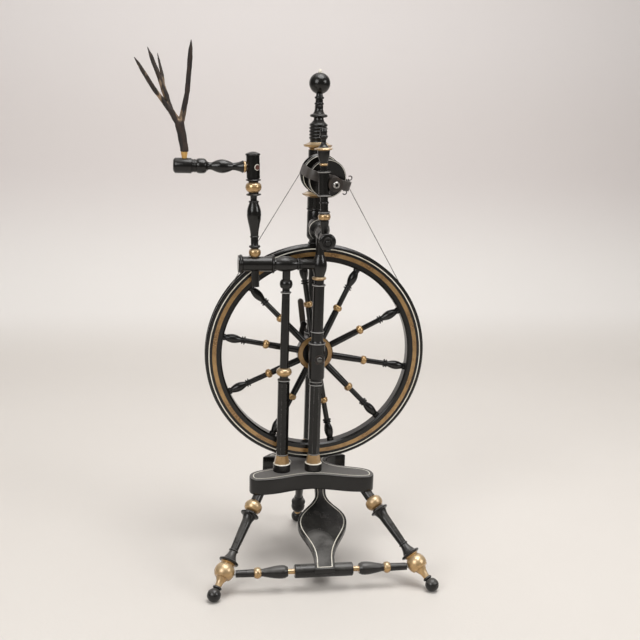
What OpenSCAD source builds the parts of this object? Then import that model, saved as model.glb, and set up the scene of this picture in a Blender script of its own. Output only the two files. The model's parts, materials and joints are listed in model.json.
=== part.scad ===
// Upright spinning wheel. A ten-spoked drive wheel turns between two posts on a waisted
// table with three splayed legs. A flyer and bobbin run above the wheel, a treadle and
// footman turn the crank behind it, and a distaff stands on an arm at the left.
// Drawn with +Z up, the floor at zero, the wheel facing -Y.

/* [Wheel] */
// Outer radius of the drive wheel
wheel_r = 210; // [195:1:225]
// Radial depth of the rim
rim_depth = 31; // [26:1:38]
// Width of the rim along the axle
rim_w = 25; // [20:1:32]
// Depth of the drive band groove in the rim
groove_depth = 5; // [3:0.5:8]
// Radius of the hub
hub_r = 34; // [30:1:42]
// Length of the hub along the axle
hub_w = 26; // [22:1:32]
// Radius of the thickest part of a spoke
spoke_r = 8.5; // [7:0.5:10]
// Radius of the iron axle
axle_r = 6; // [4.5:0.5:7.5]
// Throw of the crank, from axle to crank pin
crank_throw = 42; // [34:1:44]
// Thickness of the crank arm
crank_t = 6; // [4:0.5:8]
// Radius of the crank pin
crank_pin_r = 4; // [3:0.5:4.5]

/* [Table] */
// Height of the table's underside above the floor
leg_h = 152; // [138:1:168]
// Thickness of the table
table_t = 31; // [26:1:37]
// Half width of the front lobe
front_half = 119; // [112:1:132]
// Half width of the waist
waist_half = 38; // [32:1:46]
// Half width of the rear lobe
rear_half = 83; // [74:1:92]
// Gap between the rim and the table top
rim_gap = 12; // [8:1:20]

/* [Legs] */
// Radius of the ball feet
foot_r = 12.5; // [11:0.5:15]
// Radius of the gilded pear balls that carry the treadle bar
pear_r = 18.5; // [16:0.5:21]
// Radius of the gilded ball of the rear leg
rear_pear_r = 14; // [12:0.5:17]
// Height of the ball feet's centres above the floor
foot_z = 12; // [11:0.25:12.25]
// Distance of the front feet in front of the main post
front_foot_y = 157; // [145:1:170]
// Distance of the rear foot behind the main post
rear_foot_y = 172; // [160:1:185]
// Half of the spread of the front feet
foot_half = 200.5; // [190:0.5:212]

/* [Posts] */
// Radius of the round base of each post
base_r = 16.6; // [15:0.2:18]
// Height of the round base
base_h = 15.5; // [12:0.5:18]
// Height of the faceted gilded collar above the base
collar_h = 16.5; // [14:0.5:20]
// Corner radius of the eight-sided columns
column_r = 11.6; // [10:0.2:13]
// Radius of the blocks that carry the axle
block_r = 15.4; // [14:0.2:17]
// Height of the blocks that carry the axle
block_h = 74; // [60:1:84]
// Gap between the main post's block and the rim
post_gap = 11.6; // [9:0.2:16]
// Gap between the rim and the rear post's block
rear_gap = 22.6; // [18:0.2:27]
// Radius of the wall of the axle bushes
bush_r = 9.2; // [8:0.2:11]
// Height of the flyer's bar above the axle, at the main post
bar_rise = 237; // [230:1:245]
// Dip of the flyer's bar towards the front
bar_dip = 5.5; // [3:0.25:7]
// Radius of the rear post where it carries the flyer
rear_top_r = 17.5; // [16:0.25:19]
// Radius of the gilded discs on the rear post
disc_r = 27; // [24:0.5:30]
// Radius of the ball of the finial
finial_r = 19.8; // [17:0.2:23]

/* [Flyer] */
// Height of the bobbin's whorl above the axle
flyer_rise = 340; // [334:1:346]
// Angle of the flyer's axis to the right, in plan
flyer_yaw = 7.5; // [5:0.25:8.5]
// Angle of the flyer's axis downwards at the front
flyer_dip = 6.4; // [5:0.2:7.4]
// Radius of the bobbin's whorl
whorl_r = 37; // [33:0.5:40]
// Width of the bobbin's whorl
whorl_w = 16; // [12:0.5:18]
// Radius of the bobbin's front disc
bobbin_disc_r = 35.5; // [30:0.5:36.5]
// Radius of the bobbin's core
core_r = 8; // [7:0.25:10]
// Half of the outer span of the flyer's arms
arm_half = 44; // [43:0.5:47]
// Thickness of the flyer's arms
arm_t = 6; // [4.5:0.25:6.5]
// Width of the flyer's arms
arm_w = 17; // [13:0.5:20]
// Turn of the flyer's arms about its axis at rest
arm_turn = -17; // [-30:1:30]
// Radius of the flyer's spindle
spindle_r = 4; // [3:0.25:5]
// Radius of the orifice tube
tube_r = 6; // [5.5:0.25:7]
// Radius of the hole that the yarn enters
orifice_r = 2.8; // [2:0.2:3.4]
// Radius of the round front bearing
boss_r = 13; // [11:0.25:14.5]
// Distance of the front maiden in front of the main post
maiden_reach = 47; // [44:0.5:52]
// Lean of the front maiden to the left
maiden_lean = 2.5; // [1.5:0.25:3]
// Thickness of the drive band
band_d = 1.8; // [1.4:0.1:2.4]

/* [Distaff] */
// Distance of the distaff post to the left of the axle
distaff_x = 64; // [58:1:70]
// Height of the cross arm above the axle
cross_rise = 178.5; // [172:0.5:186]
// Distance of the distaff stem's foot to the left of the axle
stem_x = 122; // [114:1:128]
// Lean of the distaff stem to the left
stem_lean = 2.1; // [0:0.1:4]
// Radius of the cross arm where the stem stands
cross_r = 13.6; // [12:0.2:15]
// Height of the distaff's upper arm above the cross arm
stem_rise = 175; // [165:1:185]
// Reach of the distaff's upper arm from its stem
reach = 141; // [130:1:152]
// Radius of the stem's block
stem_block_r = 12; // [11:0.25:13.5]
// Radius of the peg that carries the distaff branch
branch_peg_r = 4.4; // [3.6:0.2:5.2]

/* [Treadle] */
// Radius of the thick middle of the treadle bar
bar_r = 12.5; // [11:0.25:14]
// Half length of the thick middle of the treadle bar
bar_half = 54; // [46:1:60]
// Radius of the treadle bar's pins
pin_r = 3; // [2.4:0.2:3.6]
// Drop of the treadle bar below the middles of the pear balls
pin_drop = 4.5; // [3:0.5:7]
// Height of the treadle's end when the crank stands up
treadle_end_z = 110; // [104:1:116]
// Distance of the treadle's end to the right of the axle
treadle_end_x = 31; // [26:1:36]
// Thickness of the treadle board
board_t = 12; // [9:0.5:13]
// Half of the greatest width of the treadle board
board_half = 48; // [42:1:52]
// Half of the width of the treadle board's front end
board_front = 18.7; // [15:0.1:22]
// Width of the footman
footman_w = 11; // [9:0.5:12]
// Thickness of the footman
footman_t = 6; // [5:0.25:7]
// Length of the footman above the crank pin
footman_top = 44; // [30:1:55]

/* [Hidden] */
$fn = 64;

// Running clearance of shafts in holes, and the gap between other moving neighbours
run = 0.05;
gap = 0.3;
// A little more than nothing, so that cuts pass through faces
over = 1;
// More than any piece is thick, for cuts that clear a whole side
far = 80;

// Heights above the floor
table_top = leg_h + table_t;
axle_z = table_top + rim_gap + wheel_r;
bar_z = axle_z + bar_rise;
whorl_z = axle_z + flyer_rise;
cross_z = axle_z + cross_rise;

// Places of the posts: the axle is at x = 0 and the main post at y = 0
main_x = -3;
rear_x = 1.5;
wheel_y = block_r + post_gap + rim_w / 2;
rear_y = wheel_y + rim_w / 2 + rear_gap + block_r;
table_x = -9;
tenon_r = 7;
tenon_depth = 20;
column_top = axle_z - block_h / 2 - 16;
post_neck_r = 10.6;
collar_step = 1.4;
finial_up = 163;

// The table's edge: its front, the flat of its back and where the rear lobe starts
table_front = -46;
table_back = rear_y + base_r + 6;
lobe_y = rear_y - 14;

// Legs: where each axis crosses the table's underside, and the centre of its foot
left_top = [table_x - 100, -32, leg_h];
right_top = [table_x + 102, -32, leg_h];
rear_top = [-14, rear_y - 6, leg_h];
left_foot = [-foot_half, -front_foot_y, foot_z];
right_foot = [foot_half, -front_foot_y, foot_z];
rear_foot = [-5.5, rear_foot_y, foot_z];
// Share of a leg's length at which its pear ball sits, and the length its turning is drawn for
pear_at = 0.78;
leg_drawn = 208.6;
left_pear = left_top + pear_at * (left_foot - left_top);
right_pear = right_top + pear_at * (right_foot - right_top);

// Wheel: the turn of the felloes' joints, and the hand-set turn of each spoke
felloe_turn = 18;
spoke_n = 10;
spoke_turns = [-9.3, 27.5, 65, 99.5, 134.7, 169.5, 204.5, 244, 281.5, 314.5];
spoke_end = 7;
spoke_tenon_r = 5;
spoke_neck_r = 5;
hub_front = 7.5;

// Crank and footman behind the rear post
crank_turn = 18;
crank_half = 4.5;
crank_sway = 10;
crank_y = rear_y + block_r + 2.5;
crank_pin_len = 3.6;
footman_y = crank_y + crank_t + crank_pin_len + footman_t / 2;
crank_pin = [-crank_throw * sin(crank_turn), axle_z + crank_throw * cos(crank_turn)];
footman_foot = [treadle_end_x, treadle_end_z];
footman_len = norm(crank_pin - footman_foot);
footman_lean = atan2(crank_pin[0] - footman_foot[0], crank_pin[1] - footman_foot[1]);

// Treadle: the bar's axis, and the board's run from it to the pin in the footman's foot
treadle_y = left_pear[1] - 2;
treadle_z = left_pear[2] - pin_drop;
treadle_x = (left_pear[0] + right_pear[0]) / 2;
treadle_half = (right_pear[0] - left_pear[0]) / 2 - pear_r - 1.5;
// The thick middle sits a little right of the bar's middle
bar_mid = 2.6;
pin_len = 26;
pin_in = 14;
pin_y = footman_y - treadle_y;
pin_z = treadle_end_z - treadle_z;
board_len = sqrt(pin_y * pin_y + pin_z * pin_z - board_t * board_t / 4);
board_tilt = atan2(pin_z, pin_y) - atan2(board_t / 2, board_len);
board_lip = 11;
board_foot_x = 2.4;
footman_pin_r = 1.5;
fork_half = footman_w / 2 + 6.5;
fork_gap = 1.6;

// Flyer: distances along its axis from the middle of the whorl towards the front
disc_s = 40;
disc_w = 6;
arms_back = whorl_w / 2 + 6;
arms_front = 66;
bend_r = 18;
orifice_s = 102;
orifice_len = 34;
bearing_s = [74, 97];
spindle_back = -65;
core_front = arms_front - arm_t - 8;
wire_r = 0.9;
hook_r = 3.8;
hook_stem = 1.6;

// Bar that carries the flyer, its tenon, and the maiden's foot and block
bar_x = -2;
bar_end_r = 7;
bar_foot_r = 8;
bar_foot_drop = 8;
bar_tenon = 4;
maiden_z = bar_z - maiden_reach * tan(bar_dip);
maiden_foot = 5;
maiden_foot_r = 6.4;
maiden_block_r = 9.9;
// Height of the front bearing above the maiden's foot, and the block that reaches below and above it
bearing_up = (whorl_z - (bearing_s[0] + bearing_s[1]) / 2 * sin(flyer_dip) - maiden_z) / cos(maiden_lean);
maiden_block = [bearing_up - 21, bearing_up + 20];
// Height of the block's foot that the maiden's lower turning is drawn for
maiden_drawn = 77;

// Drive band: the open loop round the rim and the whorl
band_groove = 3.6;
band_gap = 0.6;
rim_pitch = wheel_r - groove_depth + gap + band_d / 2;
whorl_pitch = whorl_r - band_groove + band_gap + band_d / 2;
band_slope = asin((rim_pitch - whorl_pitch) / flyer_rise);

// Cross arm: its end in the main post, and the distaff post's tenon in it
cross_end_r = 9.7;
cross_socket = 18;
cross_end = 6;
distaff_socket = 8;
distaff_tenon_r = 7.4;

// Distaff: the stem's block, the upper arm in it, and the branch's foot on its peg
stem_seat = cross_r + 0.4;
block_x = -stem_x - stem_rise * sin(stem_lean);
arm_z = cross_z + stem_rise * cos(stem_lean);
arm_r = 13.5;
arm_end_r = 8;
arm_end = stem_block_r - 5;
stem_peg_r = 4.4;
stem_peg_turn = 30;
stem_peg_in = 3;
branch_at = reach - 19.5;
peg_depth = 6;
peg_h = 11;
branch_foot_z = arm_z + arm_r + peg_h;

// The branch's limbs from its foot, as points and thicknesses chosen by hand
trunk = [[0, 0, 0], [0, 0, 3], [-2, 1, 16], [-5, 1, 32], [-8, 0, 46], [-10, 0, 54]];
trunk_r = [7, 7.2, 7.5, 7.8, 8.4, 7];
right_tine = [[-7, 0, 46], [-2, -1, 66], [1, -2, 82], [5, -5, 106], [7, -8, 130], [9, -11, 156],
    [10, -13, 174], [11, -14, 190]];
right_tine_r = [5.6, 5, 4.5, 4.3, 4.3, 4.2, 3.4, 0.5];
left_limb = [[-8, 0, 47], [-16, 1, 58], [-23, 1, 69], [-29, 1, 78]];
left_limb_r = [6.6, 6.2, 5.2, 3.4];
outer_tine = [[-19, 0, 63], [-31, -1, 78], [-39, -4, 89], [-48, -8, 100], [-58, -12, 115], [-70, -16, 134],
    [-78, -18, 147], [-85, -19, 157]];
outer_tine_r = [4.4, 4.2, 4.1, 4, 3.9, 3.6, 2.6, 0.5];
middle_tine = [[-21, 2, 66], [-27, 5, 81], [-32, 8, 96], [-38, 11, 113], [-44, 13, 129], [-53, 16, 151],
    [-58, 17, 164], [-63, 18, 176]];
middle_tine_r = [4.2, 4.6, 5, 4.9, 4.2, 3.7, 2.7, 0.5];
back_tine = [[-35, 9, 104], [-37, 14, 120], [-38, 18, 130], [-41, 24, 144], [-46, 31, 167]];
back_tine_r = [3.4, 3.1, 2.8, 2.3, 0.5];

// The plan of the object is centred on its bounding box
plan_x = (block_x - branch_at + outer_tine[7][0] - 0.4 + foot_half + foot_r) / 2;
plan_y = (rear_foot_y - front_foot_y) / 2;

// Colours as photographed
black = [0.16, 0.15, 0.13];
gilt = [0.66, 0.50, 0.26];
iron = [0.32, 0.32, 0.33];
steel = [0.72, 0.72, 0.70];
bark = [0.22, 0.17, 0.13];
brown = [0.24, 0.21, 0.19];
cord = [0.62, 0.61, 0.58];

// Outlines of turned work, as lists of [radius, height]
function tube(z0, z1, r) = [[r, z0], [r, z1]];
function bead(z, h, r, bulge) =
    [for (a = [0 : 30 : 180]) [r + bulge * sin(a), z - h / 2 * cos(a)]];
function swell(z0, z1, r0, r1, bulge, lean = 1) = [for (t = [0 : 0.125 : 1])
    [r0 + (r1 - r0) * t + bulge * sin(180 * pow(t, lean)), z0 + (z1 - z0) * t]];
function flare(z0, z1, r0, r1) = [for (t = [0 : 0.125 : 1])
    [r1 + (r0 - r1) * pow(1 - t, 2.4), z0 + (z1 - z0) * t]];
function ball(z, r, low, high) = [for (i = [0 : 12])
    let(a = low + (high - low) * i / 12) [r * cos(a), z + r * sin(a)]];
function reversed(points) = [for (i = [len(points) - 1 : -1 : 0]) points[i]];

// Points of a cubic curve
function curve(a, b, c, d) = [for (t = [0 : 0.1 : 1])
    a * pow(1 - t, 3) + 3 * b * t * pow(1 - t, 2) + 3 * c * t * t * (1 - t) + d * pow(t, 3)];
function mirrored(points) = [for (p = reversed(points)) [-p[0], p[1]]];

// A solid of turned work along +Z
module turned(outline) {
    last = len(outline) - 1;
    rotate_extrude() polygon(concat([[0, outline[0][1]]], outline, [[0, outline[last][1]]]));
}

// A tube along a route: one ring of eight points for each point of the route
function heading(route, i) =
    let(last = len(route) - 1) route[min(i + 1, last)] - route[max(i - 1, 0)];
function side_of(d) = let(s = cross(d, [0.3, 1, 0.1])) s / norm(s);
function ring(p, d, r) = let(u = side_of(d), v = cross(d, u) / norm(d))
    [for (a = [0 : 45 : 315]) p + r * (cos(a) * u + sin(a) * v)];
function around(i, k) =
    [i * 8 + k, i * 8 + (k + 1) % 8, (i + 1) * 8 + (k + 1) % 8, (i + 1) * 8 + k];
function split(f) = [[f[0], f[2], f[1]], [f[0], f[3], f[2]]];
module swept(route, radii) {
    last = len(route) - 1;
    points = [for (i = [0 : last]) each ring(route[i], heading(route, i), radii[i])];
    walls = [for (i = [0 : last - 1], k = [0 : 7]) each split(around(i, k))];
    caps = [for (k = [1 : 6]) each [[0, k, k + 1], [last * 8, last * 8 + k + 1, last * 8 + k]]];
    polyhedron(points, concat(walls, caps));
}

// A closed tube round a loop of points
module looped(route, r) {
    n = len(route);
    points = [for (i = [0 : n - 1])
        each ring(route[i], route[(i + 1) % n] - route[(i + n - 1) % n], r)];
    faces = [for (i = [0 : n - 1], k = [0 : 7])
        each split([for (j = around(i, k)) j % (8 * n)])];
    polyhedron(points, faces);
}

// Frames that pieces are drawn in
module placed() translate([-plan_x, -plan_y, 0]) children();
module along_x(p) translate(p) rotate([0, 90, 0]) children();
module along_y(p) translate(p) rotate([-90, 0, 0]) children();
module wheel_frame() translate([0, wheel_y, axle_z]) rotate([90, 0, 0]) children();
module flyer_frame() translate([0, wheel_y, whorl_z])
    rotate([90 + flyer_dip, 0, flyer_yaw]) children();
module bar_frame() translate([bar_x, 0, bar_z]) rotate([bar_dip - 90, 0, 0]) children();
module maiden_frame() translate([main_x, -maiden_reach, maiden_z])
    rotate([0, -maiden_lean, 0]) children();
module stem_frame() translate([-stem_x, 0, cross_z]) rotate([0, -stem_lean, 0]) children();
module treadle_frame() translate([0, treadle_y, treadle_z])
    rotate([board_tilt, 0, 0]) children();
module leg_frame(top, foot) {
    d = foot - top;
    translate(top) rotate([0, acos(d[2] / norm(d)), atan2(d[1], d[0])]) children();
}

// Table: a waisted board with rounded lobes
function table_side() = let(f = table_front, h = front_half, w = waist_half) concat(
    curve([0, f + 22], [h * 0.35, f + 20], [h * 0.5, f], [h * 0.82, f]),
    curve([h * 0.82, f], [h, f], [h, f + 14], [h, f + 22]),
    curve([h, f + 22], [h, 6], [w + 40, 8], [w + 18, 22]),
    curve([w + 18, 22], [w, 34], [w - 4, 50], [w + 6, 62]),
    curve([w + 6, 62], [w + 18, 74], [rear_half - 22, lobe_y], [rear_half, lobe_y]),
    curve([rear_half, lobe_y], [rear_half - 3, lobe_y + 10], [rear_half - 26, table_back - 9],
        [rear_half - 53, table_back]));

module leg_tenon() translate([0, 0, -22]) cylinder(r = tenon_r, h = 24);
module tenon_holes() {
    for (p = [[main_x, 0], [rear_x, rear_y], [-distaff_x, 0]])
        translate([p[0], p[1], table_top - tenon_depth])
            cylinder(r = tenon_r, h = tenon_depth + over);
    for (leg = [[left_top, left_foot], [right_top, right_foot], [rear_top, rear_foot]])
        leg_frame(leg[0], leg[1]) leg_tenon();
}

module table() color(black) placed() difference() {
    translate([table_x, 0, leg_h]) linear_extrude(table_t)
        polygon(concat(table_side(), mirrored(table_side())));
    tenon_holes();
}

// Legs: gilded ball, flange, tapering shaft, bell, gilded pear ball and ball foot
module leg(top, foot, ball_r) {
    n = norm(foot - top);
    s = n / leg_drawn;
    ankle = n - foot_r * 0.85 - 3.5;
    color(black) difference() {
        union() {
            difference() {
                leg_frame(top, foot) turned(concat(
                    tube(-24, 19 * s, 9.5),
                    bead(30.5 * s, 21 * s, 8.5, 8.3), tube(42 * s, 44 * s, 11.5),
                    bead(47 * s, 5 * s, 13.5, 4.3), flare(50 * s, 66 * s, 13, 9.1),
                    swell(66.5 * s, 118 * s, 9.1, 7.4, 0), bead(121.5 * s, 3.4 * s, 7.2, 1.8),
                    swell(124 * s, 140 * s, 7.2, 13.2, -1), bead(143 * s, 5 * s, ball_r - 4, 4.2),
                    ball(n * pear_at, ball_r, -52, 40),
                    swell(n * pear_at + ball_r * sin(40) + 1, ankle - 4, ball_r * 0.6, 6, -1.5),
                    bead(ankle, 5, 6, 2.6), [[6, n - foot_r / 2]]));
                translate(top + [-far, -far, 0]) cube([2 * far, 2 * far, far]);
            }
            leg_frame(top, foot) leg_tenon();
            translate(foot) sphere(r = foot_r);
        }
        translate(foot + [-far, -far, -foot_z - far]) cube([2 * far, 2 * far, far]);
    }
}

// Hole in a pear ball for the treadle bar's pin, on the side that faces the bar
module treadle_bore(x, side) along_x([x, treadle_y, treadle_z])
    translate([0, 0, side > 0 ? 0 : -pear_r - over]) cylinder(r = pin_r + run, h = pear_r + over);
module front_left_leg() placed() difference() {
    leg(left_top, left_foot, pear_r);
    treadle_bore(left_pear[0], 1);
}
module front_right_leg() placed() difference() {
    leg(right_top, right_foot, pear_r);
    treadle_bore(right_pear[0], -1);
}
module rear_leg() placed() leg(rear_top, rear_foot, rear_pear_r);

// Foot of every post: tenon, round base and eight-sided flared collar
module post_foot() {
    translate([0, 0, table_top - tenon_depth]) cylinder(r = tenon_r, h = tenon_depth + over);
    translate([0, 0, table_top])
        turned(concat(tube(0, base_h - 1, base_r), [[base_r - 1, base_h]]));
    translate([0, 0, table_top + base_h]) rotate(22.5)
        cylinder(h = collar_h, r1 = base_r - collar_step, r2 = column_r, $fn = 8);
}
module octagon_column(top) translate([0, 0, table_top + base_h + collar_h]) rotate(22.5)
    cylinder(h = top - table_top - base_h - collar_h, r = column_r, $fn = 8);

// Axle block between two shoulders, centred on the axle
function block_outline(r) = let(h = block_h / 2) concat(
    bead(-h - 14, 5, r, 2.6), tube(-h - 11, -h - 4, r + 1.6), swell(-h - 4, -h, r + 2.4, block_r, 0.6),
    tube(-h, h - 10, block_r), bead(h - 8, 4, block_r - 1, 1.6),
    swell(h - 6, h - 3, block_r - 2.4, r + 1, 0), tube(h - 3, h + 12, r + 0.8), bead(h + 14, 4, r, 2));

module axle_bore(y) along_y([0, y - far, axle_z]) cylinder(r = bush_r, h = 2 * far);

// Main post: carries the wheel's front bearing, the cross arm and the flyer's bar
module main_post() color(black) placed() difference() {
    translate([main_x, 0, 0]) union() {
        post_foot();
        octagon_column(column_top);
        translate([0, 0, axle_z]) turned(concat(
            block_outline(post_neck_r), tube(block_h / 2 + 16, cross_rise - 41, post_neck_r),
            bead(cross_rise - 39, 4, post_neck_r, 2), tube(cross_rise - 37, cross_rise - 29, 9.4),
            bead(cross_rise - 26, 6, 9.4, 4), swell(cross_rise - 22, cross_rise + 18, 9.4, 8.4, 5),
            tube(cross_rise + 18, bar_rise - bar_foot_drop, bar_foot_r)));
    }
    axle_bore(0);
    along_x([main_x - cross_socket, 0, cross_z])
        cylinder(r = cross_end_r, h = cross_socket - cross_end);
}

// Rear post: carries the wheel's rear bearing and the flyer's rear bearing, with a finial
function rear_shaft() = let(b = bar_rise - 5) concat(
    block_outline(post_neck_r), tube(block_h / 2 + 16, b - 30, post_neck_r),
    bead(b - 27, 4, post_neck_r, 3), tube(b - 25, b - 20, 11.5),
    swell(b - 20, b - 12, 13, 16.5, 1), tube(b - 12, b + 32, 16.5),
    bead(b + 38, 5, 15.5, 2.4), tube(b + 41, max(b + 42, flyer_rise - 52), rear_top_r - 0.5));
function rear_crown() = let(r = rear_top_r) concat(
    tube(-53, -48, r - 0.5), [[disc_r, -43], [disc_r, -41]],
    swell(-41, -31, disc_r - 1, r - 2.5, -4), tube(-30, 42, r),
    swell(42, 47, r - 2.5, disc_r - 1, -3), [[disc_r, 49], [disc_r, 51]],
    swell(51, 60, disc_r - 2, 15.5, -4),
    [for (z = [63 : 6 : 87]) each bead(z, 5, 15.2, 2)],
    swell(90, 100, 15, 9, -1.6), bead(104, 6, 13, 3.7),
    swell(108, 122, 11, 8, -1.6), bead(126, 5, 7, 1.8), tube(129, 134, 7),
    bead(137, 5, 6.6, 2.4), ball(finial_up, finial_r, -72, 80),
    swell(finial_up + finial_r, finial_up + finial_r + 6, 3.2, 1.5, 0.6));
module rear_post() color(black) placed() difference() {
    translate([rear_x, rear_y, 0]) union() {
        post_foot();
        octagon_column(column_top);
        translate([0, 0, axle_z]) turned(rear_shaft());
        translate([0, 0, whorl_z]) turned(rear_crown());
    }
    axle_bore(rear_y);
    flyer_frame() translate([0, 0, spindle_back - 40]) cylinder(r = bush_r, h = 90);
    bar_frame() cylinder(r = bar_end_r, h = rear_y - bar_tenon);
}

// Distaff post: a slimmer post that carries the cross arm
module distaff_post() color(black) placed() translate([-distaff_x, 0, 0]) union() {
    post_foot();
    octagon_column(axle_z - 46);
    translate([0, 0, axle_z]) turned(concat(
        tube(-46, -44, 9), bead(-42, 5, 9, 3.2), tube(-39, -34, 8), bead(-26, 15, 8, 6.8),
        swell(-18, cross_rise - 56, 8.2, 7.4, 0.3), bead(cross_rise - 53, 4, 7.4, 2.8),
        tube(cross_rise - 50, cross_rise - 46, 7), bead(cross_rise - 37, 17, 7, 5),
        tube(cross_rise - 27, cross_rise - distaff_socket, distaff_tenon_r)));
}

// Cross arm: a turned arm from the main post over the distaff post to the distaff stem
module cross_arm() color(black) placed() difference() {
    along_x([0, 0, cross_z]) turned(concat(
        tube(-stem_x - 31, -stem_x - 29, cross_r + 2), bead(-stem_x - 26, 6, cross_r + 1, 2.6),
        tube(-stem_x - 22, -distaff_x - 28, cross_r), bead(-distaff_x - 25, 5, cross_r + 0.6, 3.2),
        tube(-distaff_x - 22, -distaff_x - 20, 10),
        swell(-distaff_x - 20, -distaff_x + 18, 11, 10, 4),
        bead(-distaff_x + 21, 5, 9, 2.4), bead(-distaff_x + 26, 4, 9, 1.6),
        tube(-distaff_x + 28, main_x - cross_end, cross_end_r)));
    stem_frame() translate([0, 0, -far]) cylinder(r = tenon_r + run, h = 2 * far);
    translate([-distaff_x, 0, cross_z - far]) cylinder(r = distaff_tenon_r, h = far - distaff_socket);
}

// Bar that carries the flyer: stepped knob, lined bulge over the wheel, barrel and tenon
function bar_outline() = let(m = -maiden_reach) concat(
    [[3.2, m - 33], [4.2, m - 32.2], [4.8, m - 29.8], [6, m - 29.8], [6.8, m - 31.8], [8.8, m - 32],
    [9.8, m - 29], [11, m - 28.8]],
    bead(m - 24.5, 7, 13, 2.5), swell(m - 20, m + 16, 8.5, 9, 2.5),
    bead(m + 19, 4, 9, 2), swell(m + 22, 4, 10.5, 12.5, 0.5), swell(4, 36, 12.5, 12.5, 7),
    swell(37, rear_y - 22, 13.2, 13.2, 1.8), tube(rear_y - 20, rear_y - bar_tenon, bar_end_r));
module flyer_bar() color(black) placed() difference() {
    bar_frame() turned(bar_outline());
    translate([main_x, 0, bar_z - far]) cylinder(r = bar_foot_r, h = far - bar_foot_drop);
    maiden_frame() translate([0, 0, maiden_foot]) cylinder(r = maiden_foot_r, h = far);
}

// Front maiden: a turned upright with a block that carries the front bearing
function maiden_outline() = let(r = maiden_block_r, low = maiden_block[0], top = maiden_block[1],
    s = low / maiden_drawn) concat(
    tube(maiden_foot, 12 * s, maiden_foot_r), swell(12 * s, 31 * s, maiden_foot_r, 8.5, -0.6),
    bead(39 * s, 13 * s, 7, 4.3), bead(47 * s, 4 * s, 8, 2.6), tube(49 * s, 62 * s, 7),
    bead(64 * s, 4 * s, 7, 1.4), tube(66 * s, low - 2, 7),
    bead(low, 4, r, 1.9), tube(low + 2, top - 2, r), bead(top, 4, r, 1.9), tube(top + 2, top + 11, 6.1),
    bead(top + 13, 4, 6.1, 1.4), swell(top + 16, top + 37, 7, 11.2, 0.8), bead(top + 40, 4, 11.6, 4.6),
    swell(top + 43, top + 57, 9, 4.7, -2.4), bead(top + 61, 6, 5, 2.8),
    swell(top + 64, top + 75, 5.6, 5.2, 0.8));
module front_maiden() color(black) placed() maiden_frame() turned(maiden_outline());

// Round front bearing on the maiden's side, and the bush in the rear post
module front_bearing() color(brown) placed() difference() {
    flyer_frame() translate([0, 0, bearing_s[0]])
        cylinder(r = boss_r, h = bearing_s[1] - bearing_s[0]);
    flyer_frame() translate([0, 0, bearing_s[0] - over])
        cylinder(r = tube_r + run, h = bearing_s[1] - bearing_s[0] + 2 * over);
    maiden_frame() translate([0, 0, maiden_block[0]])
        cylinder(r = maiden_block_r, h = maiden_block[1] - maiden_block[0]);
    maiden_frame() for (z = maiden_block) translate([0, 0, z - 2.2])
        cylinder(r = maiden_block_r + 2, h = 4.4);
}
module rear_bearing() color(brown) placed() flyer_frame() difference() {
    translate([0, 0, spindle_back - 4]) cylinder(r = bush_r, h = 36);
    translate([0, 0, spindle_back - 4 - over]) cylinder(r = spindle_r + run, h = 36 + 2 * over);
}

// Bushes of the axle in the main and rear posts
module axle_bush(y) color(brown) placed() along_y([0, y - block_r - 1, axle_z]) difference() {
    cylinder(r = bush_r, h = 2 * block_r + 2);
    translate([0, 0, -over]) cylinder(r = axle_r + run, h = 2 * block_r + 2 + 2 * over);
}
module front_axle_bush() axle_bush(0);
module rear_axle_bush() axle_bush(rear_y);

// Drive band: two straight runs and the arcs round the rim and the leaning whorl
function rim_point(a) = [rim_pitch * cos(a), wheel_y, axle_z + rim_pitch * sin(a)];
function whorl_point(a) = let(x = whorl_pitch * cos(a), z = whorl_pitch * sin(a))
    [x * cos(flyer_yaw) - z * sin(flyer_dip) * sin(-flyer_yaw), wheel_y + x * sin(flyer_yaw)
    - z * sin(flyer_dip) * cos(flyer_yaw), whorl_z + z * cos(flyer_dip)];
module drive_band() color(cord) placed() looped(concat(
    [for (a = [180 - band_slope : 6 : 360 + band_slope]) rim_point(a)],
    [for (a = [band_slope : 6 : 180 - band_slope]) whorl_point(a)]), band_d / 2);

// Rim of four felloes, with the groove for the band
function rim_outline() = let(w = rim_w / 2, inner = wheel_r - rim_depth, g = groove_depth) [
    [inner, -w + 3], [inner + 3, -w], [wheel_r - 2, -w], [wheel_r, -w + 2],
    [wheel_r, -g - 2], [wheel_r - g, -2], [wheel_r - g, 2], [wheel_r, g + 2],
    [wheel_r, w - 2], [wheel_r - 2, w], [inner + 3, w], [inner, w - 3]];
module spoke_line(i) rotate(spoke_turns[i]) rotate([0, 90, 0]) children();
module felloe(i) color(black) placed() wheel_frame() difference() {
    rotate(felloe_turn + (i - 1) * 90) rotate_extrude(angle = 90, $fn = 180) polygon(rim_outline());
    for (k = [0 : spoke_n - 1]) spoke_line(k) translate([0, 0, wheel_r - rim_depth - spoke_end])
        cylinder(r = spoke_tenon_r, h = 2 * spoke_end);
}

// Spokes: turned, with a gilded bead, a ring pair and a bulb towards the rim
function spoke_outline() = let(rim = wheel_r - rim_depth, n = spoke_neck_r) concat(
    tube(hub_r - spoke_end, hub_r, spoke_tenon_r), swell(hub_r, rim - 88.5, 6.4, 6, 0.2),
    bead(rim - 82.5, 11, n, spoke_r - 4.6), tube(rim - 76.5, rim - 43, n),
    bead(rim - 41, 3, n, 3.2), bead(rim - 36.6, 3, n, 2.6), swell(rim - 34, rim - 4, n, n, spoke_r - n),
    tube(rim - 4, rim, 6.4), tube(rim, rim + spoke_end, spoke_tenon_r));
module spoke(i) color(black) placed() wheel_frame() spoke_line(i - 1) turned(spoke_outline());

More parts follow.
